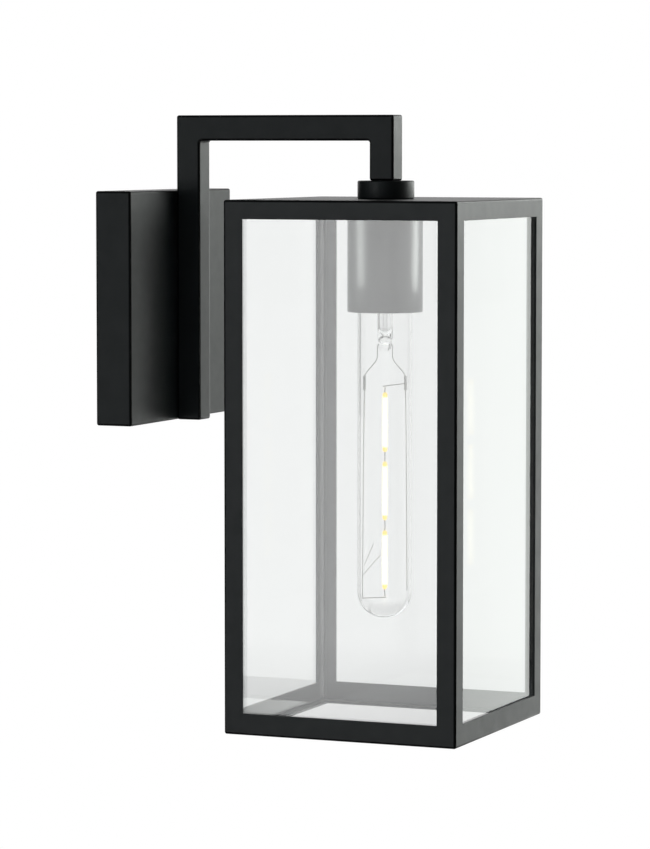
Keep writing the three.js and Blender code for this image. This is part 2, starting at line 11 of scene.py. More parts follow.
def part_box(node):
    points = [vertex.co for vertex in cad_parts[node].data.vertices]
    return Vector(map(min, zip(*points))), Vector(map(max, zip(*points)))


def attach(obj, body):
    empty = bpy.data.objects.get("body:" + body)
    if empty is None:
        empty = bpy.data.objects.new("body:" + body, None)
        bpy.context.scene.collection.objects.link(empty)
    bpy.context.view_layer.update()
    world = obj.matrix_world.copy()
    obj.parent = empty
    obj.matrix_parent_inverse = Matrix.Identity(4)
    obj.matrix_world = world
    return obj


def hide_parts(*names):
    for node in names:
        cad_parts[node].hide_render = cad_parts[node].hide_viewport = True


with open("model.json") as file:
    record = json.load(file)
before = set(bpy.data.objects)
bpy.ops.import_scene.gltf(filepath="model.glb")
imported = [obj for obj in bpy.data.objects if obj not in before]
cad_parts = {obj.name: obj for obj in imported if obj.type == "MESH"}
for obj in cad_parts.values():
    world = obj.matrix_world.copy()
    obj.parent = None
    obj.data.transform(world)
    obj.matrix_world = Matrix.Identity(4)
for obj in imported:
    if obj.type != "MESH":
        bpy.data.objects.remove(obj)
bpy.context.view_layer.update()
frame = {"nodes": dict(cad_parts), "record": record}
MM = 0.001
SIDES = ("front", "right", "back", "left")
CORNERS = ("front_right", "back_right", "back_left", "front_left")
scene = bpy.context.scene


# ---- Places, read from the frame ----
plate_low, plate_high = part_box("backplate")
arm_low, arm_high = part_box("arm_tube")
collar_low, collar_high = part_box("collar")
roof_low, roof_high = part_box("roof_plate")
cup_low, cup_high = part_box("socket_cup")
post_low, post_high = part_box("corner_post_front_left")
front_top_low, front_top_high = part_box("top_rail_front")
front_bottom_low, front_bottom_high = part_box("bottom_rail_front")
glass_low, glass_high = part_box("bulb_glass")

# The lantern, its stack of fittings and the bulb share one upright axis.
AXIS = Vector(((cup_low.x + cup_high.x) / 2, (cup_low.y + cup_high.y) / 2, 0))
HALF = (front_top_high.x - front_top_low.x) / 2
FACE = post_high.x - post_low.x
SHEET = 1.5 * MM
PLATE_SHEET = 1.25 * MM
LANTERN_TOP = front_top_high.z
LANTERN_BOTTOM = front_bottom_low.z
WINDOW_TOP = post_high.z
WINDOW_BOTTOM = post_low.z
LEDGE = front_bottom_high.y - front_bottom_low.y
ROOF_UNDERSIDE = roof_low.z
# Height and radius of the three holes that the wall plate and the arm share: the wires' and two screws'.
HOLES = ((0.0, 4.3 * MM), (35 * MM, 2.3 * MM), (-35 * MM, 2.3 * MM))
# Rise of the bulb's thread in one turn: what bulb_travel moves while bulb_turn turns by 2 pi.
PITCH = 2 * math.pi * 0.000577505
NIPPLE_HOLE = 5.1 * MM
# Half the distance between the two terminals' wire ends, in millimetres.
TERMINAL_EDGE = 8.9
# How far a cutter runs past what it cuts.
PAST = 0.01
ORIGIN = Vector((0, 0, 0))
SLOT_OF_NODE = {entry["node"]: entry["material_slot"] for entry in frame["record"]["subparts"]}


# ---- Node helpers ----
class Shader:
    """A material's node tree, with short calls for the nodes used here."""

    def __init__(self, name):
        self.material = bpy.data.materials.new(name)
        self.material.use_nodes = True
        self.nodes = self.material.node_tree.nodes
        self.links = self.material.node_tree.links
        self.shader = self.nodes["Principled BSDF"]
        self.place = self.nodes.new("ShaderNodeTexCoord").outputs["Object"]

    def set(self, **values):
        for label, value in values.items():
            self.shader.inputs[label.replace("_", " ")].default_value = value
        return self

    def noise(self, scale, detail=2.0, roughness=0.5, vector=None):
        node = self.nodes.new("ShaderNodeTexNoise")
        node.inputs["Scale"].default_value = scale
        node.inputs["Detail"].default_value = detail
        node.inputs["Roughness"].default_value = roughness
        self.links.new(vector or self.place, node.inputs["Vector"])
        return node.outputs["Fac"]

    def stretched(self, x, y, z):
        node = self.nodes.new("ShaderNodeMapping")
        node.inputs["Scale"].default_value = (x, y, z)
        self.links.new(self.place, node.inputs["Vector"])
        return node.outputs["Vector"]

    def ramp(self, source, *stops):
        node = self.nodes.new("ShaderNodeValToRGB")
        elements = node.color_ramp.elements
        while len(elements) < len(stops):
            elements.new(0.5)
        for element, (position, colour) in zip(elements, stops):
            element.position = position
            element.color = (*colour, 1.0)
        self.links.new(source, node.inputs["Fac"])
        return node.outputs["Color"]

    def spread(self, source, low, high):
        node = self.nodes.new("ShaderNodeMapRange")
        node.inputs["From Min"].default_value = 0.25
        node.inputs["From Max"].default_value = 0.75
        node.inputs["To Min"].default_value = low
        node.inputs["To Max"].default_value = high
        self.links.new(source, node.inputs["Value"])
        return node.outputs["Result"]

    def bump(self, source, depth, strength=1.0):
        node = self.nodes.new("ShaderNodeBump")
        node.inputs["Distance"].default_value = depth
        node.inputs["Strength"].default_value = strength
        self.links.new(source, node.inputs["Height"])
        self.links.new(node.outputs["Normal"], self.shader.inputs["Normal"])

    def drive(self, label, source):
        self.links.new(source, self.shader.inputs[label])


def powder_coat(name, dark, light, gloss, sheen=0.5):
    """Fine-texture black powder coat: orange peel, faint mottling and uneven sheen."""
    coat = Shader(name)
    coat.drive("Base Color", coat.ramp(coat.noise(45, 4), (0.35, dark), (0.7, light)))
    coat.drive("Roughness", coat.spread(coat.noise(140, 3), gloss - 0.025, gloss + 0.03))
    coat.bump(coat.noise(1500, 3, 0.6), 0.00006, 0.5)
    coat.set(Specular_IOR_Level=sheen)
    return coat.material


def plated_steel(name, tint, roughness):
    """Rolled, zinc-plated steel with faint streaks along its length."""
    steel = Shader(name)
    streaks = steel.noise(90, 3, 0.6, steel.stretched(8, 8, 0.6))
    dark = tuple(0.82 * c for c in tint)
    steel.drive("Base Color", steel.ramp(streaks, (0.3, dark), (0.7, tint)))
    steel.drive("Roughness", steel.spread(steel.noise(300, 2), roughness - 0.06, roughness + 0.08))
    steel.bump(steel.noise(700, 2), 0.00003, 0.4)
    steel.set(Metallic=1.0)
    return steel.material


def moulded(name, tint, roughness, grain=900):
    """Moulded or glazed material with a faint surface grain and uneven tone."""
    plastic = Shader(name)
    dark = tuple(0.86 * c for c in tint)
    plastic.drive("Base Color", plastic.ramp(plastic.noise(60, 3), (0.3, dark), (0.7, tint)))
    plastic.drive("Roughness", plastic.spread(plastic.noise(200, 2), roughness - 0.04, roughness + 0.06))
    plastic.bump(plastic.noise(grain, 2), 0.00003, 0.3)
    return plastic.material


def clear_glass(name, tint, roughness, index=1.46):
    glass = Shader(name)
    glass.set(Base_Color=(*tint, 1.0), Roughness=roughness, IOR=index, Transmission_Weight=1.0)
    return glass.material


def thin_film(name, tint, centre, rim, glow=0.0):
    """A film too thin to bend light: clearer where it faces the eye than at its rim."""
    film = Shader(name)
    facing = film.nodes.new("ShaderNodeLayerWeight")
    facing.inputs["Blend"].default_value = 0.35
    cover = film.nodes.new("ShaderNodeMapRange")
    cover.inputs["To Min"].default_value = centre
    cover.inputs["To Max"].default_value = rim
    film.links.new(facing.outputs["Facing"], cover.inputs["Value"])
    film.drive("Alpha", cover.outputs["Result"])
    film.set(Base_Color=(*tint, 1.0), Roughness=0.08, Emission_Color=(*tint, 1.0), Emission_Strength=glow)
    return film.material


def glowing(name, tint, strength):
    lit = Shader(name)
    lit.drive("Base Color", lit.ramp(lit.noise(500, 2), (0.3, tuple(0.9 * c for c in tint)), (0.7, tint)))
    lit.set(Emission_Color=(*tint, 1.0), Emission_Strength=strength, Roughness=0.5)
    return lit.material


POWDER = powder_coat("powder_black", (0.0195, 0.0228, 0.0238), (0.0235, 0.0268, 0.0278), 0.42)
# The wall plate's and arm's copy of the black powder coat, with less sheen: its lighter tone is painted light
# that keeps their shaded faces from going darker.
POWDER_WALL_PAINTED_LIGHT = powder_coat(
    "powder_black_wall_parts_painted_light", (0.0225, 0.0262, 0.0273), (0.0265, 0.0302, 0.0313), 0.42, 0.35
)
# Near-black copy of the powder coat for the rounded arrises: painted shade, darkening every rounded edge as
# if it lay in shadow.
POWDER_EDGE_PAINTED_SHADE = powder_coat("powder_black_arris_painted_shade", (0.003, 0.0032, 0.0034), (0.006, 0.0064, 0.0068), 0.34, 0.25)
# The socket cup's copy of the black powder coat: lower roughness, and a slightly lighter tone that is painted
# light the cup catches as a cylinder.
CUP_POWDER_PAINTED_LIGHT = powder_coat("powder_satin_painted_light", (0.02, 0.021, 0.022), (0.028, 0.03, 0.031), 0.34)
ZINC = plated_steel("zinc_steel", (0.62, 0.63, 0.64), 0.34)
BRASS = plated_steel("brass", (0.78, 0.55, 0.22), 0.28)
ALUMINIUM = plated_steel("aluminium", (0.78, 0.79, 0.8), 0.24)
NICKEL_WIRE = plated_steel("nickel_wire", (0.4, 0.4, 0.38), 0.42)
PORCELAIN = moulded("porcelain", (0.82, 0.79, 0.7), 0.22)
VITRITE = moulded("vitrite", (0.012, 0.012, 0.014), 0.15)
GROUND_GREEN = moulded("ground_green", (0.03, 0.22, 0.07), 0.35)
BLACK_PLASTIC = moulded("black_plastic", (0.014, 0.014, 0.015), 0.45)
BLACK_WIRE = moulded("black_wire", (0.014, 0.014, 0.016), 0.38)
WHITE_WIRE = moulded("white_wire", (0.78, 0.78, 0.75), 0.38)
GREEN_WIRE = moulded("green_wire", (0.03, 0.25, 0.08), 0.38)
ORANGE_PLASTIC = moulded("orange_plastic", (0.7, 0.19, 0.03), 0.4)
PANE_GLASS = clear_glass("pane_glass", (0.985, 0.995, 0.99), 0.0, 1.52)
PANE_EDGE = clear_glass("pane_glass_edge", (0.86, 0.95, 0.97), 0.12)
BULB_GLASS = clear_glass("bulb_glass", (1.0, 1.0, 1.0), 0.0, 1.32)
FILAMENT_CORE = glowing("filament", (1.0, 0.97, 0.86), 1.3)
EXHAUST_GLASS = thin_film("exhaust_glass", (0.5, 0.52, 0.51), 0.03, 0.4)
PHOSPHOR = thin_film("filament_phosphor", (1.0, 0.9, 0.5), 0.1, 0.85, 0.95)
FILAMENT_TIP = glowing("filament_tip", (0.85, 0.58, 0.1), 0.9)


# ---- Mesh helpers ----
def to_object(name, mesh_data):
    mesh = bpy.data.meshes.new(name)
    mesh_data.to_mesh(mesh)
    mesh_data.free()
    piece = bpy.data.objects.new(name, mesh)
    scene.collection.objects.link(piece)
    return piece


def block(name, low, high):
    data = bmesh.new()
    size = Vector(high) - Vector(low)
    middle = (Vector(high) + Vector(low)) / 2
    bmesh.ops.create_cube(data, size=1.0, matrix=Matrix.Translation(middle) @ Matrix.Diagonal((*size, 1.0)))
    return to_object(name, data)


def cylinder(name, start, end, radius, sides=32):
    """A round bar from one point to another."""
    start, end = Vector(start), Vector(end)
    along = end - start
    data = bmesh.new()
    turn = along.to_track_quat("Z", "Y").to_matrix().to_4x4()
    place = Matrix.Translation((start + end) / 2) @ turn
    bmesh.ops.create_cone(
        data, cap_ends=True, segments=sides, radius1=radius, radius2=radius, depth=along.length, matrix=place
    )
    return to_object(name, data)


def outline_prism(name, points, axis, low, high):
    """A closed outline pushed along one axis; the points hold the two other coordinates in X, Y, Z order."""
    data = bmesh.new()
    ring = []
    for a, b in points:
        place = [a, b]
        place.insert(axis, low)
        ring.append(data.verts.new(place))
    face = data.faces.new(ring)
    pushed = bmesh.ops.extrude_face_region(data, geom=[face])
    shift = [0, 0, 0]
    shift[axis] = high - low
    moved = [g for g in pushed["geom"] if isinstance(g, bmesh.types.BMVert)]
    bmesh.ops.translate(data, verts=moved, vec=shift)
    bmesh.ops.recalc_face_normals(data, faces=data.faces)
    return to_object(name, data)


def helix(pitch):
    """Height of a right-hand thread, from -1 to 1, at an angle and height."""
    return lambda angle, height: math.cos(2 * math.pi * height / pitch - angle)


def ribs(count):
    return lambda angle, height: math.cos(count * angle)


def turned(name, profile, centre, sides=96, relief=None):
    """A shape turned round an upright axis from (radius, height) points; ends on the axis close it.

    A point's third value, if any, is how deep the relief runs there.
    """
    data = bmesh.new()
    rings = []
    for radius, height, *depth in profile:
        if radius < 1e-7:
            rings.append([data.verts.new((centre.x, centre.y, height))])
            continue
        ring = []
        for i in range(sides):
            angle = 2 * math.pi * i / sides
            reach = radius + (depth[0] * relief(angle, height) if depth else 0)
            across, along = reach * math.cos(angle), reach * math.sin(angle)
            ring.append(data.verts.new((centre.x + across, centre.y + along, height)))
        rings.append(ring)
    pairs = list(zip(rings, rings[1:]))
    if profile[0][0] > 1e-7:
        pairs.append((rings[-1], rings[0]))
    for a, b in pairs:
        for i in range(sides):
            j = (i + 1) % sides
            corners = [a[i % len(a)], a[j % len(a)], b[j % len(b)], b[i % len(b)]]
            data.faces.new(list(dict.fromkeys(corners)))
    bmesh.ops.recalc_face_normals(data, faces=data.faces)
    return to_object(name, data)


def evaluated(piece):
    """Applies a piece's modifiers to its mesh."""
    graph = bpy.context.evaluated_depsgraph_get()
    mesh = bpy.data.meshes.new_from_object(piece.evaluated_get(graph))
    piece.modifiers.clear()
    piece.data = mesh
    return piece


def carve(piece, *cutters, operation="DIFFERENCE"):
    for cutter in cutters:
        step = piece.modifiers.new("carve", "BOOLEAN")
        step.operation = operation
        step.solver = "EXACT"
        step.object = cutter
    evaluated(piece)
    for cutter in cutters:
        bpy.data.objects.remove(cutter)
    return piece


def soften(piece, width, segments=3, angle=35, arris=None):
    """Rounds the sharp edges; the rounded strips can take a material slot of their own."""
    bevel = piece.modifiers.new("round", "BEVEL")
    bevel.width = width
    bevel.segments = segments
    bevel.limit_method = "ANGLE"
    bevel.angle_limit = math.radians(angle)
    bevel.harden_normals = True
    bevel.miter_outer = "MITER_ARC"
    if arris is not None:
        bevel.material = arris
    piece.data.shade_smooth()
    return piece


def flatten_faces(piece):
    """Keeps the shading of large flat faces flat, leaving the rounding to the small strips between them."""
    flat = piece.modifiers.new("flat_faces", "WEIGHTED_NORMAL")
    flat.mode = "FACE_AREA"
    flat.weight = 100
    flat.keep_sharp = True
    return piece


def ease_arrises(piece, coat, width=1.3 * MM):
    """Gives a plain block its wide outer arrises, with the near-black coat of painted shade on their rounded
    strips, before anything is cut into it.
    """
    dress(piece, coat, POWDER_EDGE_PAINTED_SHADE)
    soften(piece, width, 5, arris=1)
    return evaluated(piece)


def dress(piece, *materials):
    piece.data.materials.clear()
    for item in materials:
        piece.data.materials.append(item)
    return piece


def finish_piece(piece, body, slot, *nodes):
    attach(piece, body)
    if nodes:
        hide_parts(*nodes)
    return piece


def soften_node(node, width, segments=2):
    """Rounds a carried-over node's edges, leaving its mesh as it is."""
    return soften(frame["nodes"][node], width, segments)


def threads(radius, depth, low, high, pitch, steps=8):
    """Profile points of a thread that fades in and out at its ends."""
    count = max(2, round((high - low) / pitch * steps))
    points = []
    for i in range(count + 1):
        height = low + (high - low) * i / count
        fade = min(1.0, (height - low) / pitch, (high - height) / pitch)
        points.append((radius - depth * (1 - fade), height, depth * max(fade, 0.0)))
    return points


def aim(piece, place, direction):
    """Stands a piece built upright at the origin on a place, turned to face a direction."""
    turn = Vector(direction).to_track_quat("Z", "Y").to_matrix().to_4x4()
    piece.data.transform(Matrix.Translation(Vector(place)) @ turn)
    return piece


def make_screw(node, place, direction, material, head, shank, head_style="pan", drive="cross"):
    """A machine screw: its head stands on the place and faces the direction. Sizes are (radius, length)."""
    head_radius, head_height = head
    shank_radius, length = shank
    pitch = 0.35 * shank_radius
    depth = 0.07 * shank_radius
    core = shank_radius - depth
    profile = [(0, -length), (0.6 * core, -length)]
    profile += threads(core, depth, -length + 0.25 * shank_radius, -0.3 * MM, pitch)
    if head_style == "pan":
        profile += [(shank_radius, 0), (head_radius, 0)]
        crown = 0.45 * head_height
        for i in range(9):
            t = math.pi / 2 * i / 8
            profile.append((head_radius * math.cos(t) ** 0.6, crown + (head_height - crown) * math.sin(t)))
        profile[-1] = (0, head_height)
    else:
        profile += [(shank_radius, -0.1 * MM), (head_radius - 0.1 * MM, head_height - 0.15 * MM)]
        profile += [(head_radius, head_height - 0.08 * MM), (head_radius - 0.1 * MM, head_height)]
        profile.append((0, head_height))
    screw = turned(f"{node}_piece", profile, ORIGIN, 40, helix(pitch))
    deep = head_height - min(0.6 * head_height, 1.1 * MM)
    top = head_height + 1 * MM
    wide, thin = 0.52 * head_radius, 0.12 * head_radius
    if drive == "slot":
        wide = 1.1 * head_radius
    recess = [block("recess", (-wide, -thin, deep), (wide, thin, top))]
    if drive == "cross":
        recess.append(block("recess", (-thin, -wide, deep), (thin, wide, top)))
    carve(screw, *recess)
    soften(screw, 0.06 * MM, 2, 50)
    aim(evaluated(screw), place, direction)
    dress(screw, material)
    screw.data.shade_smooth()
    return finish_piece(screw, "root", SLOT_OF_NODE[node], node)


# ---- Wall plate ----
def make_backplate():
    low, high = plate_low, plate_high
    wall = Vector((PLATE_SHEET,) * 3)
    shell = block("backplate_shell", low, high)
    far = Vector((high.x, high.y + PAST, high.z)) - Vector((wall.x, 0, wall.z))
    hollow = block("hollow", low + wall, far)
    holes = [cylinder("hole", (0, low.y - PAST, z), (0, low.y + PAST, z), r) for z, r in HOLES]
    sinks = []
    for node in ("backplate_screw_upper", "backplate_screw_lower"):
        foot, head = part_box(node)
        middle = (foot + head) / 2
        start, end = (middle.x, middle.y, foot.z - PAST), (middle.x, middle.y, head.z + PAST)
        sinks.append(cylinder("sink", start, end, 3.8 * MM))
    # The plate takes the wall parts' lighter coat: painted light.
    carve(ease_arrises(shell, POWDER_WALL_PAINTED_LIGHT), hollow, *holes, *sinks)
    flatten_faces(soften(shell, 0.3 * MM, 2))
    return finish_piece(shell, "root", "powder_black", "backplate")



# ---- Arm ----
def make_arm():
    side = arm_high.x - arm_low.x
    drop = collar_high.z
    back, tip, foot, top = arm_high.y, arm_low.y, arm_low.z, arm_high.z
    path = [
        (back, foot), (back, top), (tip, top), (tip, drop),
        (tip + side, drop), (tip + side, top - side), (back - side, top - side), (back - side, foot),
    ]
    tube = outline_prism("arm", path, 0, arm_low.x, arm_high.x)
    wall = PLATE_SHEET
    bore_path = [
        (back - wall, foot + wall), (back - wall, top - wall), (tip + wall, top - wall),
        (tip + wall, drop - wall), (tip + side - wall, drop - wall), (tip + side - wall, top - side + wall),
        (back - side + wall, top - side + wall), (back - side + wall, foot + wall),
    ]
    bore = outline_prism("bore", bore_path, 0, arm_low.x + wall, arm_high.x - wall)
    holes = [cylinder("hole", (0, back - 3 * MM, z), (0, back + 3 * MM, z), r) for z, r in HOLES]
    # The arm takes the wall parts' lighter coat: painted light.
    carve(ease_arrises(tube, POWDER_WALL_PAINTED_LIGHT), bore, *holes)
    flatten_faces(soften(tube, 0.3 * MM, 2))
    return finish_piece(tube, "root", "powder_black", "arm_tube")


# ---- Lantern frame, roof and collar ----
def make_lantern_frame():
    centre = AXIS
    inner = HALF - SHEET
    ledge = HALF - LEDGE
    window = HALF - FACE
    body = block(
        "lantern_frame",
        (centre.x - HALF, centre.y - HALF, LANTERN_BOTTOM),
        (centre.x + HALF, centre.y + HALF, LANTERN_TOP),
    )

    def core(half_x, half_y, low, high):
        return block(
            "core", (centre.x - half_x, centre.y - half_y, low), (centre.x + half_x, centre.y + half_y, high)
        )

    flange = HALF - (front_top_high.y - front_top_low.y)
    cutters = [
        core(inner, inner, LANTERN_BOTTOM + SHEET, ROOF_UNDERSIDE - SHEET),
        core(inner, inner, ROOF_UNDERSIDE, LANTERN_TOP + PAST),
        core(flange, flange, ROOF_UNDERSIDE - 2 * SHEET, ROOF_UNDERSIDE + PAST),
        core(ledge, ledge, LANTERN_BOTTOM - PAST, LANTERN_BOTTOM + 2 * SHEET),
        core(window, HALF + PAST, WINDOW_BOTTOM, WINDOW_TOP),
        core(HALF + PAST, window, WINDOW_BOTTOM, WINDOW_TOP),
    ]
    carve(ease_arrises(body, POWDER), *cutters)
    flatten_faces(soften(body, 0.4 * MM, 3))
    names = [f"{part}_rail_{side}" for part in ("top", "bottom") for side in SIDES]
    names += [f"corner_post_{corner}" for corner in CORNERS]
    return finish_piece(body, "root", "powder_black", *names)


def make_roof():
    roof = block("roof_sheet", roof_low, roof_high)
    carve(roof, cylinder("hole", (AXIS.x, AXIS.y, 0), (AXIS.x, AXIS.y, 0.1), NIPPLE_HOLE))
    # The rounded edges take the near-black arris coat: painted shade.
    soften(roof, 0.35 * MM, 2, arris=1)
    dress(roof, POWDER, POWDER_EDGE_PAINTED_SHADE)
    return finish_piece(roof, "root", "powder_black", "roof_plate")


def rounded_rect_profile(inner, outer, low, high, radius, steps=5):
    """Section of a turned ring with its two outer edges rounded."""
    points = [(inner, low)]
    for i in range(steps + 1):
        t = math.pi / 2 * i / steps
        points.append((outer - radius + radius * math.sin(t), low + radius - radius * math.cos(t)))
    for i in range(steps + 1):
        t = math.pi / 2 * i / steps
        points.append((outer - radius + radius * math.cos(t), high - radius + radius * math.sin(t)))
    points.append((inner, high))
    return points


def make_collar():
    radius = (collar_high.x - collar_low.x) / 2
    profile = rounded_rect_profile(NIPPLE_HOLE, radius, collar_low.z, collar_high.z, 0.9 * MM)
    collar = turned("collar_ring", profile, AXIS)
    collar.data.shade_smooth()
    dress(collar, POWDER)
    return finish_piece(collar, "root", "powder_black", "collar")


def make_cup():
    radius = (cup_high.x - cup_low.x) / 2
    wall = PLATE_SHEET
    bend = 1.6 * MM
    profile = [(NIPPLE_HOLE, cup_high.z - wall)]
    profile += [(radius - wall, cup_high.z - wall), (radius - wall, cup_low.z + 0.4 * MM)]
    profile += [(radius - wall + 0.3 * MM, cup_low.z), (radius - 0.4 * MM, cup_low.z)]
    profile.append((radius, cup_low.z + 0.4 * MM))
    for i in range(6):
        t = math.pi / 2 * i / 5
        profile.append((radius - bend + bend * math.cos(t), cup_high.z - bend + bend * math.sin(t)))
    profile.append((NIPPLE_HOLE, cup_high.z))
    cup = turned("socket_cup_shell", profile, AXIS)
    cup.data.shade_smooth()
    # The cup's lighter satin coat: painted light.
    dress(cup, CUP_POWDER_PAINTED_LIGHT)
    return finish_piece(cup, "root", "powder_black", "socket_cup")


# ---- Panes ----
def make_pane(side):
    low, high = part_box(f"glass_pane_{side}")
    pane = block(f"pane_{side}", low, high)
    thin = 0 if high.x - low.x < high.y - low.y else 1
    dress(pane, PANE_GLASS, PANE_EDGE)
    for face in pane.data.polygons:
        face.material_index = 0 if abs(face.normal[thin]) > 0.5 else 1
    bevel = pane.modifiers.new("ground_edge", "BEVEL")
    bevel.width = 0.35 * MM
    bevel.segments = 1
    bevel.material = 1
    return finish_piece(pane, "root", "pane_glass", f"glass_pane_{side}")


# ---- Bulb ----
def make_bulb_glass():
    radius = (glass_high.x - glass_low.x) / 2
    wall = 0.9 * MM
    neck = 12.2 * MM
    centre_z = glass_low.z + radius

    def surface(inset, floor):
        points = []
        reach = radius - inset
        for i in range(17):
            t = math.pi / 2 * i / 16
            points.append((reach * math.sin(t), centre_z - (radius - floor) * math.cos(t)))
        points.append((reach, 2 * MM))
        for i in range(1, 9):
            t = i / 8
            ease = t * t * (3 - 2 * t)
            points.append((reach + (neck - radius) * ease, 2 * MM + 9 * MM * t))
        points.append((neck - inset, glass_high.z))
        return points

    shell = turned("bulb_envelope", surface(0, 0) + surface(wall, wall)[::-1], AXIS, 96)
    shell.data.shade_smooth()
    dress(shell, BULB_GLASS)
    return finish_piece(shell, "bulb", "bulb_glass", "bulb_glass")


def make_stem():
    """The glass mount inside the bulb: a flared tube with a bubble above its press, and the exhaust tube."""
    outside = [(0, -25), (1.6, -24.9), (2.7, -24.3), (3.5, -23), (3.75, -21), (3.95, -19), (4.4, -17.5)]
    outside += [(4.5, -15), (4.45, 0), (4.5, 4), (4.9, 7.5), (5.8, 10.4), (7.6, 13), (9.6, 15.4), (10.8, 18)]
    inside = [(10.2, 18.2), (8.9, 15.8), (6.9, 13.4), (5.1, 10.9), (4.1, 8), (3.6, 4), (3.55, -10)]
    inside += [(3.3, -13), (2.2, -15), (1.3, -15.7), (1.2, -16), (2.0, -16.3), (2.9, -17.1), (3.3, -18.5)]
    inside += [(2.9, -19.9), (2.0, -20.7), (1.0, -21), (0, -21.1)]
    stem = turned("bulb_mount", [(r * MM, z * MM) for r, z in outside + inside], AXIS, 48)
    dress(stem, BULB_GLASS)
    stem.data.shade_smooth()
    finish_piece(stem, "bulb", "bulb_glass", "bulb_stem")
    tube = [(0.95, -14), (1.45, -14.3), (1.6, -13.6), (1.55, 0), (1.6, 21.8), (1.3, 22), (0.95, 21.8)]
    exhaust = turned("bulb_exhaust_tube", [(r * MM, z * MM) for r, z in tube], AXIS, 32)
    dress(exhaust, EXHAUST_GLASS)
    exhaust.data.shade_smooth()
    finish_piece(exhaust, "bulb", "bulb_glass")


# How far the filaments' plane is turned from the lantern's front, in degrees.
FILAMENT_TURN = -67


def filament_plane(out, height, forward=0.0):
    """A place in the plane of the support wires, from the axis outwards, in millimetres."""
    turn = math.radians(FILAMENT_TURN)
    x = out * math.cos(turn) - forward * math.sin(turn)
    y = out * math.sin(turn) + forward * math.cos(turn)
    return AXIS + Vector((x, y, height)) * MM


def make_wire(name, points, radius, smooth=True, sides=4):
    """A round wire along a smooth path."""
    curve = bpy.data.curves.new(name, "CURVE")
    curve.dimensions = "3D"
    curve.bevel_depth = radius
    curve.bevel_resolution = sides
    curve.resolution_u = 8
    curve.use_fill_caps = True
    path = curve.splines.new("BEZIER")
    path.bezier_points.add(len(points) - 1)
    for knot, place in zip(path.bezier_points, points):
        knot.co = place
        knot.handle_left_type = knot.handle_right_type = "AUTO" if smooth else "VECTOR"
    source = bpy.data.objects.new(name, curve)
    scene.collection.objects.link(source)
    graph = bpy.context.evaluated_depsgraph_get()
    mesh = bpy.data.meshes.new_from_object(source.evaluated_get(graph))
    bpy.data.objects.remove(source)
    wire = bpy.data.objects.new(name, mesh)
    scene.collection.objects.link(wire)
    wire.data.shade_smooth()
    return wire


def make_support_wire(side, foot, link, extras=()):
    """One lead with its crimp, support wire and cross wire, as a single piece."""
    word = "left" if side < 0 else "right"

    def at(out, height, forward=0.0):
        return filament_plane(side * out, height, forward)

    lead = [at(3.3, -20.6), at(4.2, -21.6), at(4.4, -25), at(4.7, -29.5), at(6.6, -32.4)]
    lead += [at(10.6, -37.2), at(11.8, -39.4), at(11.9, -41)]
    parts = [make_wire("part", lead, 0.28 * MM)]
    parts.append(make_wire("part", [at(11.9, -46), at(12.1, -56), at(12.6, -110), at(13, foot)], 0.27 * MM))
    parts.append(make_wire("part", [at(*link[0]), at(*link[1])], 0.3 * MM, smooth=False))
    for start, end in extras:
        parts.append(make_wire("part", [filament_plane(*start), filament_plane(*end)], 0.2 * MM, sides=2))
    top, bottom = at(11.9, -39.3), at(11.9, -47.9)
    crimp = [(0, 0), (0.4, 0), (0.78, 0.4), (0.8, 2.0), (0.66, 2.8), (0.8, 3.6), (0.8, 5.0), (0.66, 5.8)]
    crimp += [(0.8, 6.6), (0.78, 8.2), (0.4, 8.6), (0, 8.6)]
    sleeve = turned("part", [(r * MM, z * MM) for r, z in crimp], ORIGIN, 20)
    parts.append(aim(sleeve, bottom, top - bottom))
    whole = parts[0]
    data = bmesh.new()
    for part in parts:
        data.from_mesh(part.data)
    data.to_mesh(whole.data)
    data.free()
    for part in parts[1:]:
        bpy.data.objects.remove(part)
    whole.name = f"filament_lead_{word}"
    dress(whole, NICKEL_WIRE)
    whole.data.shade_smooth()
    return finish_piece(whole, "bulb", "nickel_wire", f"support_wire_{word}")


def make_filament(which, pin_top, top, bottom, pin_bottom):
    """A coated stick: bright along its length, amber where the coating thins out over each electrode."""
    stick = 1.12
    tip = 3.1
    cap = [(0, 0), (0.5, 0), (0.95, 0.35), (1.28, 0.9), (1.42, 1.5), (1.4, 2.1), (1.28, 2.7)]
    cap += [(1.16, tip), (stick, 3.9)]
    profile = [(r, bottom + z) for r, z in cap] + [(r, top - z) for r, z in reversed(cap)]
    glow = turned(f"filament_{which}_stick", [(r * MM, z * MM) for r, z in profile], AXIS, 24)
    dress(glow, FILAMENT_CORE, FILAMENT_TIP)
    for face in glow.data.polygons:
        height = face.center.z / MM
        face.material_index = 1 if height > top - tip or height < bottom + tip else 0
    glow.data.shade_smooth()
    finish_piece(glow, "bulb", "filament", f"filament_{which}")
    coat = [(1.3, bottom + tip - 0.5), (1.6, bottom + tip + 0.5)]
    coat += [(1.6, top - tip - 0.5), (1.3, top - tip + 0.5)]
    sleeve = turned(f"filament_{which}_sleeve", [(r * MM, z * MM) for r, z in coat], AXIS, 24)
    sleeve.data.shade_smooth()
    dress(sleeve, PHOSPHOR)
    finish_piece(sleeve, "bulb", "filament")
    for end, start, stop in (("upper", top - 0.3, pin_top), ("lower", bottom + 0.3, pin_bottom)):
        steps = 5
        points = []
        for i in range(steps + 1):
            sway = 0.08 * math.sin(3 * i)
            if abs(stop - start) > 3:
                sway = 0.16 * math.sin(math.pi * 2 * i / steps)
            points.append(AXIS + Vector((0, sway, start + (stop - start) * i / steps)) * MM)
        pin = make_wire(f"filament_{which}_pin_{end}", points, 0.33 * MM)
        dress(pin, NICKEL_WIRE)
        finish_piece(pin, "bulb", "nickel_wire")


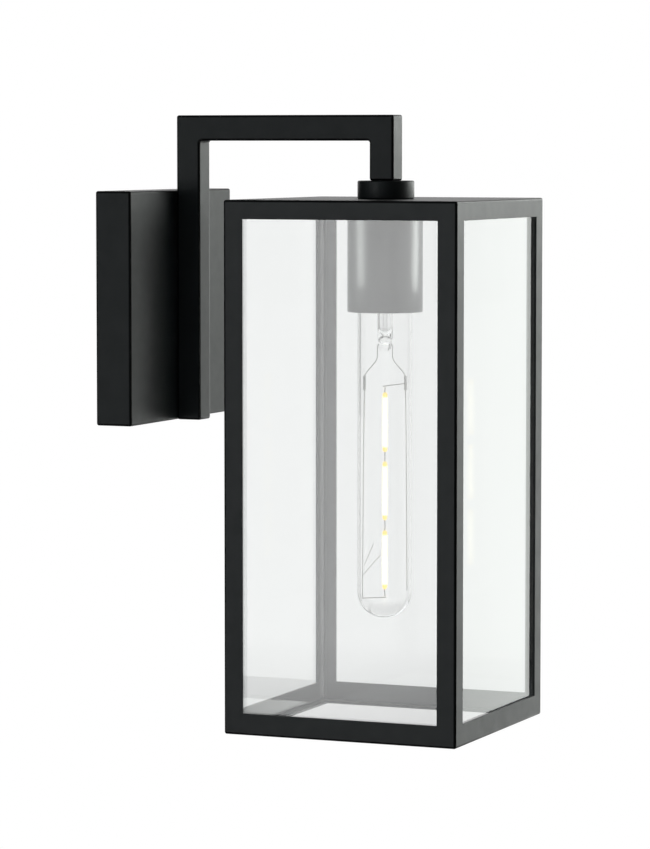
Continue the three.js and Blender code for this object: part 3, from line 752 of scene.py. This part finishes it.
def make_bulb_base():
    """Threaded cap, black insulator and soldered end contact."""
    low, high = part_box("bulb_cap")
    wall = 0.35 * MM
    bottom, top = low.z, high.z
    throat = 7 * MM
    outer = [(12.95 * MM, bottom), (13.0 * MM, bottom + 0.5 * MM)]
    outer += threads(12.7 * MM, 0.3 * MM, bottom + 1.2 * MM, top - 3.6 * MM, PITCH, 12)
    shoulder = [(12.3 * MM, top - 2.9 * MM), (10.8 * MM, top - 1.4 * MM), (8.6 * MM, top - 0.3 * MM)]
    shoulder.append((throat, top))
    inner = [(r - wall, z, *d) for r, z, *d in outer]
    inner += [(r - wall, z - wall) for r, z in shoulder]
    outer += shoulder
    cap = turned("bulb_screw_cap", outer + inner[::-1], AXIS, 72, helix(PITCH))
    cap.data.shade_smooth()
    dress(cap, ALUMINIUM)
    finish_piece(cap, "bulb", "aluminium", "bulb_cap")
    foot, top_of_glass = (corner.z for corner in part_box("bulb_insulator"))
    dome = [(0, foot), (throat - 0.1 * MM, foot), (throat, foot + 0.3 * MM), (6.6 * MM, foot + 1.6 * MM)]
    dome += [(5.7 * MM, foot + 3.2 * MM), (4.9 * MM, top_of_glass - 0.15 * MM)]
    dome += [(4.5 * MM, top_of_glass), (0, top_of_glass)]
    insulator = turned("bulb_cap_insulator", dome, AXIS, 48)
    insulator.data.shade_smooth()
    dress(insulator, VITRITE)
    finish_piece(insulator, "bulb", "vitrite", "bulb_insulator")
    low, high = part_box("bulb_contact")
    radius = (high.x - low.x) / 2
    button = [(0, low.z), (radius - 0.2 * MM, low.z), (radius, low.z + 0.3 * MM)]
    button.append((radius * 0.93, low.z + 0.8 * MM))
    button += [(radius * 0.72, high.z - 0.28 * MM), (radius * 0.4, high.z - 0.06 * MM), (0, high.z)]
    contact = turned("bulb_end_contact", button, AXIS, 40)
    contact.data.shade_smooth()
    dress(contact, ZINC)
    finish_piece(contact, "bulb_end", "zinc_steel", "bulb_contact")



# ---- Lampholder and the hanging stack ----
def make_lampholder():
    low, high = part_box("lampholder_body")
    radius = (high.x - low.x) / 2
    bore, ceiling = 14.25 * MM, 43 * MM
    ease = 0.8 * MM
    profile = [(0, ceiling), (bore - 0.6 * MM, ceiling), (bore, ceiling - 0.6 * MM), (bore, low.z + 0.7 * MM)]
    profile += [(bore + 0.25 * MM, low.z + 0.2 * MM), (bore + 0.7 * MM, low.z)]
    profile += [(radius - ease, low.z), (radius - 0.25 * MM, low.z + 0.25 * MM), (radius, low.z + ease)]
    for height in (20, 33):
        profile += [(radius, (height - 1) * MM), (radius - 0.5 * MM, (height - 0.5) * MM)]
        profile += [(radius - 0.5 * MM, (height + 0.5) * MM), (radius, (height + 1) * MM)]
    profile += [(radius, high.z - ease), (radius - 0.25 * MM, high.z - 0.25 * MM)]
    profile += [(radius - ease, high.z), (0, high.z)]
    body = turned("lampholder_porcelain", profile, AXIS, 80)
    holes = []
    hole_foot, hole_top = Vector((0, 0, 0.0435)), Vector((0, 0, 0.05))
    for x, y, r in ((11, 0, 1.8), (-11, 0, 1.8), (0, 12, 1.7), (0, -12, 1.7)):
        place = AXIS + Vector((x, y, 0)) * MM
        holes.append(cylinder("hole", place + hole_foot, place + hole_top, r * MM))
    carve(body, *holes)
    body.data.shade_smooth()
    smooth = body.modifiers.new("round", "BEVEL")
    smooth.width = 0.15 * MM
    smooth.segments = 2
    smooth.limit_method = "ANGLE"
    smooth.angle_limit = math.radians(50)
    smooth.harden_normals = True
    dress(body, PORCELAIN)
    finish_piece(body, "root", "porcelain", "lampholder_body")

    low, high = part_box("lampholder_shell")
    outer = [(13.75 * MM, low.z), (13.95 * MM, low.z + 0.3 * MM)]
    outer += threads(13.7 * MM, 0.28 * MM, low.z + 0.8 * MM, high.z - 0.4 * MM, PITCH, 12)
    outer += [(13.9 * MM, high.z)]
    inner = [(r - 0.3 * MM, z, *d) for r, z, *d in outer]
    shell = turned("lampholder_screw_shell", outer + inner[::-1], AXIS, 72, helix(PITCH))
    shell.data.shade_smooth()
    dress(shell, ALUMINIUM)
    finish_piece(shell, "root", "aluminium", "lampholder_shell")


def make_hanging_stack():
    low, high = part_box("nipple")
    radius, bore = (high.x - low.x) / 2, 3.25 * MM
    depth = 0.14 * MM
    profile = [(bore + 0.2 * MM, low.z), (radius - 0.4 * MM, low.z)]
    profile += threads(radius - depth, depth, low.z + 0.3 * MM, high.z - 0.3 * MM, 1.0 * MM, 6)
    profile += [(radius - 0.4 * MM, high.z), (bore + 0.2 * MM, high.z)]
    profile += [(bore, high.z - 0.3 * MM), (bore, low.z + 0.3 * MM)]
    nipple = turned("threaded_nipple", profile, AXIS, 40, helix(1.0 * MM))
    nipple.data.shade_smooth()
    dress(nipple, ZINC)
    finish_piece(nipple, "root", "zinc_steel", "nipple")

    low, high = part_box("lock_washer")
    bore = NIPPLE_HOLE
    tooth = 0.4 * MM
    star = [(bore, low.z + 0.1 * MM), (bore + 0.1 * MM, low.z), (6.3 * MM, low.z)]
    star += [(7.55 * MM, low.z + 0.05 * MM, tooth), (7.6 * MM, low.z + 0.3 * MM, tooth)]
    star += [(7.6 * MM, high.z - 0.2 * MM, tooth), (7.5 * MM, high.z, tooth)]
    star += [(bore + 0.1 * MM, high.z), (bore, high.z - 0.1 * MM)]
    washer = turned("star_washer", star, AXIS, 120, ribs(15))
    dress(washer, ZINC)
    finish_piece(washer, "root", "zinc_steel", "lock_washer")

    low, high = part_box("nipple_nut")
    corner = 8.1 * MM
    flat = corner * math.cos(math.pi / 6)
    nut = turned("hex_nut", [(0, low.z), (corner, low.z), (corner, high.z), (0, high.z)], AXIS, 6)
    chamfer = 0.7 * MM
    edge = [(0, low.z), (flat - 0.2 * MM, low.z), (corner, low.z + chamfer), (corner, high.z - chamfer)]
    edge += [(flat - 0.2 * MM, high.z), (0, high.z)]
    carve(nut, turned("chamfer", edge, AXIS, 64), operation="INTERSECT")
    foot, head = AXIS + Vector((0, 0, low.z - PAST)), AXIS + Vector((0, 0, high.z + PAST))
    carve(nut, cylinder("bore", foot, head, NIPPLE_HOLE, 48))
    soften(nut, 0.1 * MM, 2, 25)
    dress(nut, ZINC)
    finish_piece(nut, "root", "zinc_steel", "nipple_nut")


# ---- Wiring in the wall plate ----
def make_wire_nut(which):
    low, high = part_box(f"wire_nut_{which}")
    middle = Vector(((low.x + high.x) / 2, (low.y + high.y) / 2, 0))
    bottom, mouth = low.z, high.z
    profile = [(0, bottom), (3.2, 0), (3.8, 0.25), (4.0, 0.9)]
    profile = [(r * MM, bottom + z * MM if r else bottom) for r, z in profile]
    for i in range(9):
        t = i / 8
        profile.append(((4.0 + 2.0 * t) * MM, bottom + (1.6 + 12 * t) * MM, 0.22 * MM))
    profile += [(6.05 * MM, bottom + 14.4 * MM), (6.5 * MM, bottom + 15.4 * MM), (6.5 * MM, mouth - 0.6 * MM)]
    profile += [(6.3 * MM, mouth - 0.15 * MM), (5.9 * MM, mouth), (3.5 * MM, mouth)]
    profile.append((3.2 * MM, mouth - 0.4 * MM))
    profile += [(3.2 * MM, mouth - 14 * MM), (0, mouth - 14 * MM)]
    nut = turned(f"wire_nut_{which}_cap", profile, middle, 96, ribs(16))
    nut.data.shade_smooth()
    dress(nut, ORANGE_PLASTIC)
    finish_piece(nut, "root", "orange_plastic", f"wire_nut_{which}")


def make_screws():
    """Every screw, with its head's and its shank's (radius, length)."""
    across, up, down, out = (0, 1, 0), (0, 0, 1), (0, 0, -1), (0, -1, 0)
    plate_y = -9 * MM
    edge = 66.75 * MM
    sunk, long_shank = (3.6 * MM, 1.25 * MM), (2 * MM, 6.7 * MM)
    make_screw("backplate_screw_upper", (0, plate_y, edge), up, POWDER, sunk, long_shank, "sunk")
    make_screw("backplate_screw_lower", (0, plate_y, -edge), down, POWDER, sunk, long_shank, "sunk")
    pan = (4 * MM, 2.5 * MM)
    for node, height in (("arm_screw_upper", 35), ("arm_screw_lower", -35)):
        make_screw(node, (0, -21.25 * MM, height * MM), across, ZINC, pan, (2 * MM, 6.75 * MM))
    earth = (0, -2.3 * MM, 22 * MM)
    make_screw("ground_screw", earth, out, GROUND_GREEN, pan, (2 * MM, 1.8 * MM), drive="slot")
    for node, x in (("bracket_screw_left", -11), ("bracket_screw_right", 11)):
        place = AXIS + Vector((x, 0, 48.5)) * MM
        make_screw(node, place, up, ZINC, (2.9 * MM, 2 * MM), (1.5 * MM, 4.5 * MM))
    for node, y, material in (("terminal_screw_live", 12, BRASS), ("terminal_screw_neutral", -12, ZINC)):
        place = AXIS + Vector((0, y, 47.3)) * MM
        make_screw(node, place, up, material, (2.8 * MM, 2 * MM), (1.4 * MM, 3.3 * MM), drive="slot")


def make_supply_wires():
    """The two supply wires and the earth wire, each one smooth run through the arm. Places in millimetres."""
    tube_y = (arm_high.y - (arm_high.x - arm_low.x) / 2) / MM
    run_z = (arm_high.z - (arm_high.x - arm_low.x) / 2) / MM
    axis_y = AXIS.y / MM
    nipple_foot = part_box("nipple")[0].z / MM
    holder_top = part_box("lampholder_body")[1].z / MM
    connector = {"x": 26, "y": -11, "mouth": -26}
    for name, side, material in (("live", -1, BLACK_WIRE), ("neutral", 1, WHITE_WIRE)):
        x, far = 1.2 * side, connector["x"] * side
        edge = axis_y - side * TERMINAL_EDGE
        path = [
            (far, connector["y"], connector["mouth"] - 10), (far, connector["y"], connector["mouth"]),
            (far, connector["y"], connector["mouth"] + 10), (0.6 * far, connector["y"] - 3, -2),
            (5 * side, -16, 0.6), (x, -19, 0.6), (x, -23, 0.6), (x, -27, 1), (x, tube_y, 5), (x, tube_y, 14),
            (x, tube_y, run_z - 12), (x, tube_y - 3, run_z - 3), (x, tube_y - 12, run_z),
            (x, axis_y + 12, run_z), (x, axis_y + 3, run_z - 3), (x, axis_y, run_z - 12),
            (x, axis_y, nipple_foot),
            (x, axis_y - 2 * side, nipple_foot - 2.2), (0.4 * x, edge + 2 * side, holder_top + 1.4),
            (0, edge, holder_top + 1.3),
        ]
        wire = make_wire(f"{name}_wire_insulated", [Vector(place) * MM for place in path], 0.98 * MM, sides=6)
        dress(wire, material)
        finish_piece(wire, "root", f"{'black' if side < 0 else 'white'}_wire", f"{name}_wire")
    earth = [
        (5.3, -4, 22), (6, -7, 19), (2, -11, 10), (0, -15, 2), (0, -17.5, -1.2), (0, -20, -1.3),
        (0, -23, -1.3), (0, -27, -1.8), (0, tube_y, -5), (0, tube_y, -14), (0, tube_y, -31),
    ]
    wire = make_wire("ground_wire_insulated", [Vector(place) * MM for place in earth], 0.98 * MM, sides=6)
    dress(wire, GREEN_WIRE)
    finish_piece(wire, "root", "green_wire", "ground_wire")


def soften_hidden_nodes():
    for node in ("wall_bracket", "arm_nut_bar", "arm_end_insert"):
        soften_node(node, 0.35 * MM)
    for node in ("socket_bracket", "lampholder_contact", "wire_bushing"):
        soften_node(node, 0.2 * MM)
    for side in SIDES:
        soften_node(f"pane_clip_{side}", 0.25 * MM)


MATERIAL_OF_SLOT = {
    "zinc_steel": ZINC, "powder_black": POWDER, "ground_green": GROUND_GREEN,
    "black_plastic": BLACK_PLASTIC, "orange_plastic": ORANGE_PLASTIC,
    "black_wire": BLACK_WIRE, "white_wire": WHITE_WIRE, "green_wire": GREEN_WIRE,
    "porcelain": PORCELAIN, "aluminium": ALUMINIUM, "brass": BRASS, "pane_glass": PANE_GLASS,
    "bulb_glass": BULB_GLASS, "vitrite": VITRITE, "nickel_wire": NICKEL_WIRE, "filament": FILAMENT_CORE,
}


def dress_cad_nodes():
    """Every CAD node gets its slot's material, whether it stays in view or not."""
    for entry in frame["record"]["subparts"]:
        node = frame["nodes"][entry["node"]]
        dress(node, MATERIAL_OF_SLOT[entry["material_slot"]])


# ---- Camera, lights, floor ----
CAMERA_PLACE = (-2.01106, -0.96509, 0.09692)
CAMERA_TURN, CAMERA_TILT = -67.078, 4.342
SOFT_WHITE = (0.96, 1.0, 0.965)
# The floor lies so far down that a camera looking up from just below the lantern is still above it.
FLOOR_RADIUS, FLOOR_LEVEL = 6.0, -2.2


def make_camera():
    data = bpy.data.cameras.new("camera")
    data.lens = 158.4
    data.sensor_width = 36.0
    data.clip_end = 60.0
    camera = bpy.data.objects.new("camera", data)
    camera.location = CAMERA_PLACE
    camera.rotation_euler = (math.radians(90 - CAMERA_TILT), 0, math.radians(CAMERA_TURN))
    scene.collection.objects.link(camera)
    scene.camera = camera


def make_softbox(name, direction, distance, size, power, target):
    """A rectangular area light that looks at a point from a given direction."""
    data = bpy.data.lights.new(name, "AREA")
    data.shape = "RECTANGLE"
    data.size, data.size_y = size
    data.energy = power
    light = bpy.data.objects.new(name, data)
    way = Vector(direction).normalized()
    light.location = Vector(target) + way * distance
    light.rotation_euler = way.to_track_quat("Z", "Y").to_euler()
    data.color = SOFT_WHITE
    light.visible_camera = False
    light.visible_transmission = False
    scene.collection.objects.link(light)
    return light


def make_cup_light(name, direction, power, cup):
    """A small hidden light that only the cup receives, modelling it as a cylinder."""
    target = Vector((AXIS.x, AXIS.y, (cup_low.z + cup_high.z) / 2))
    light = make_softbox(name, direction, 52 * MM, (22 * MM, 66 * MM), power, target)
    receivers = bpy.data.collections.new(f"{name}_receivers")
    receivers.objects.link(cup)
    light.light_linking.receiver_collection = receivers
    return light


def make_world():
    """Plain white to the camera's own rays, soft patches in reflections and a pale backdrop through glass."""
    world = bpy.data.worlds.new("studio")
    world.use_nodes = True
    scene.world = world
    nodes, links = world.node_tree.nodes, world.node_tree.links
    nodes.clear()
    direction = nodes.new("ShaderNodeTexCoord").outputs["Generated"]
    behind = (0.921, 0.3895, 0.0)

    def towards(way, start, full, low, high):
        """A brightness that rises from low to high as the direction nears the given way."""
        dot = nodes.new("ShaderNodeVectorMath")
        dot.operation = "DOT_PRODUCT"
        dot.inputs[1].default_value = way
        links.new(direction, dot.inputs[0])
        level = nodes.new("ShaderNodeMapRange")
        level.interpolation_type = "SMOOTHSTEP"
        for label, value in (("From Min", start), ("From Max", full), ("To Min", low), ("To Max", high)):
            level.inputs[label].default_value = value
        links.new(dot.outputs["Value"], level.inputs["Value"])
        return level.outputs["Result"]

    def background(strength, colour=(1, 1, 1)):
        glow = nodes.new("ShaderNodeBackground")
        glow.inputs["Color"].default_value = (*colour, 1)
        if isinstance(strength, float):
            glow.inputs["Strength"].default_value = strength
        else:
            links.new(strength, glow.inputs["Strength"])
        return glow.outputs["Background"]

    def choose(switch, off, on):
        mix = nodes.new("ShaderNodeMixShader")
        links.new(switch, mix.inputs[0])
        links.new(off, mix.inputs[1])
        links.new(on, mix.inputs[2])
        return mix.outputs["Shader"]

    def add(first, second):
        total = nodes.new("ShaderNodeAddShader")
        links.new(first, total.inputs[0])
        links.new(second, total.inputs[1])
        return total.outputs["Shader"]

    def compare(left, right):
        test = nodes.new("ShaderNodeMath")
        test.operation = "GREATER_THAN"
        links.new(left, test.inputs[0])
        links.new(right, test.inputs[1])
        return test.outputs["Value"]

    def scaled(value, factor, offset=0.0):
        change = nodes.new("ShaderNodeMath")
        change.operation = "MULTIPLY_ADD"
        links.new(value, change.inputs[0])
        if isinstance(factor, float):
            change.inputs[1].default_value = factor
        else:
            links.new(factor, change.inputs[1])
        change.inputs[2].default_value = offset
        return change.outputs["Value"]

    # What paint and bare metal reflect: behind the lantern, the viewer's left and the far right.
    studio = background(towards(behind, 0.72, 0.9, 0.03, 1.1))
    near_left = towards((-0.918, 0.388, 0.0), 0.5, 0.95, 0.0, 0.22)
    studio = add(studio, background(near_left, (0.86, 1.0, 1.05)))
    far_right = towards((0.985, -0.17, -0.06), 0.955, 0.985, 0.0, 2.35)
    studio = add(studio, background(far_right, SOFT_WHITE))
    # What is seen through glass: a pale backdrop that dims low down behind the lantern. It is dimmest
    # where the far pane mirrors it to the viewer, and brighter on every side that pane doesn't mirror.
    low_down = towards((0, 0, 1), -0.165, -0.130, 0.8, 1.0)
    backdrop = scaled(towards(behind, 0.1, 0.5, 0.0, 0.67), low_down)
    sides = towards(behind, 0.1, 0.5, 0.82, 0.0)
    mirrored = towards((-0.918, 0.388, -0.1), 0.7, 0.95, 1.0, 0.3)
    through_glass = add(background(backdrop), background(scaled(sides, mirrored)))
    # The light whose image is the veil on the left pane: mirrored by its outer or its inner face only.
    veil = background(towards((-0.9199, 0.3888, -0.05), 0.9905, 0.9966, 0.0, 3.3))
    path = nodes.new("ShaderNodeLightPath")
    passed, depth = path.outputs["Is Transmission Ray"], path.outputs["Transmission Depth"]
    seen = choose(passed, studio, through_glass)
    unveiled = compare(depth, scaled(passed, 2.0, 0.5))
    seen = choose(unveiled, add(seen, veil), seen)
    seen = choose(path.outputs["Is Camera Ray"], seen, background(1.0))
    output = nodes.new("ShaderNodeOutputWorld")
    links.new(seen, output.inputs["Surface"])


def make_floor():
    """A pale disc that glows to the camera's rays and through glass, so that it looks pale to both."""
    data = bmesh.new()
    level = Matrix.Translation((0, 0, FLOOR_LEVEL))
    bmesh.ops.create_circle(data, cap_ends=True, segments=96, radius=FLOOR_RADIUS, matrix=level)
    floor = to_object("studio_floor", data)
    pale = Shader("studio_floor")
    pale.drive("Base Color", pale.ramp(pale.noise(3, 2), (0.3, (0.8, 0.8, 0.8)), (0.7, (0.84, 0.84, 0.83))))
    pale.set(Roughness=0.8)
    nodes, links = pale.nodes, pale.links
    paths = nodes.new("ShaderNodeLightPath")
    looked_at = nodes.new("ShaderNodeMath")
    looked_at.operation = "MAXIMUM"
    links.new(paths.outputs["Is Camera Ray"], looked_at.inputs[0])
    links.new(paths.outputs["Is Transmission Ray"], looked_at.inputs[1])
    glow = nodes.new("ShaderNodeMath")
    glow.operation = "MULTIPLY"
    glow.inputs[1].default_value = 0.8
    links.new(looked_at.outputs["Value"], glow.inputs[0])
    pale.set(Emission_Color=(0.97, 0.98, 0.98, 1.0))
    pale.drive("Emission Strength", glow.outputs["Value"])
    dress(floor, pale.material)


make_camera()
make_world()
make_floor()
middle = Vector((AXIS.x, AXIS.y, (LANTERN_TOP + LANTERN_BOTTOM) / 2))
make_softbox("right_softbox", (0.79, -0.61, 0.40), 0.9, (0.6, 0.36), 2.9, middle)

dress_cad_nodes()
make_backplate()
make_arm()
make_lantern_frame()
make_roof()
make_collar()
cup_shell = make_cup()
make_cup_light("cup_light_left", (-0.72, 0.69, 0.0), 0.03, cup_shell)
make_cup_light("cup_light_right", (0.344, -0.939, 0.0), 0.034, cup_shell)
for pane_side in SIDES:
    make_pane(pane_side)
make_bulb_glass()
make_stem()
# Places in the filaments' plane, in millimetres: from the axis, height and forward.
spring_wires = [((-13.3, -156.3, -0.2), (-2.3, -143.6, -1.2)), ((-12.0, -150.1, 0.2), (-6.5, -137.0, -1.0))]
make_support_wire(-1, -169.6, ((13, -169.3), (-0.6, -168.9)), spring_wires)
make_support_wire(1, -165, ((11.9, -43.7), (-1.3, -45.4)))
# Heights of the upper pin's end, the stick's top, its bottom and the lower pin's end, in millimetres.
make_filament("upper", -46, -48.9, -83.6, -86.3)
make_filament("middle", -86.6, -89.3, -123.5, -126.4)
make_filament("lower", -126.7, -129.6, -164.0, -168.3)
make_bulb_base()
make_lampholder()
make_hanging_stack()
for which in ("live", "neutral"):
    make_wire_nut(which)
make_supply_wires()
make_screws()
soften_hidden_nodes()

scene.view_settings.view_transform = "Standard"
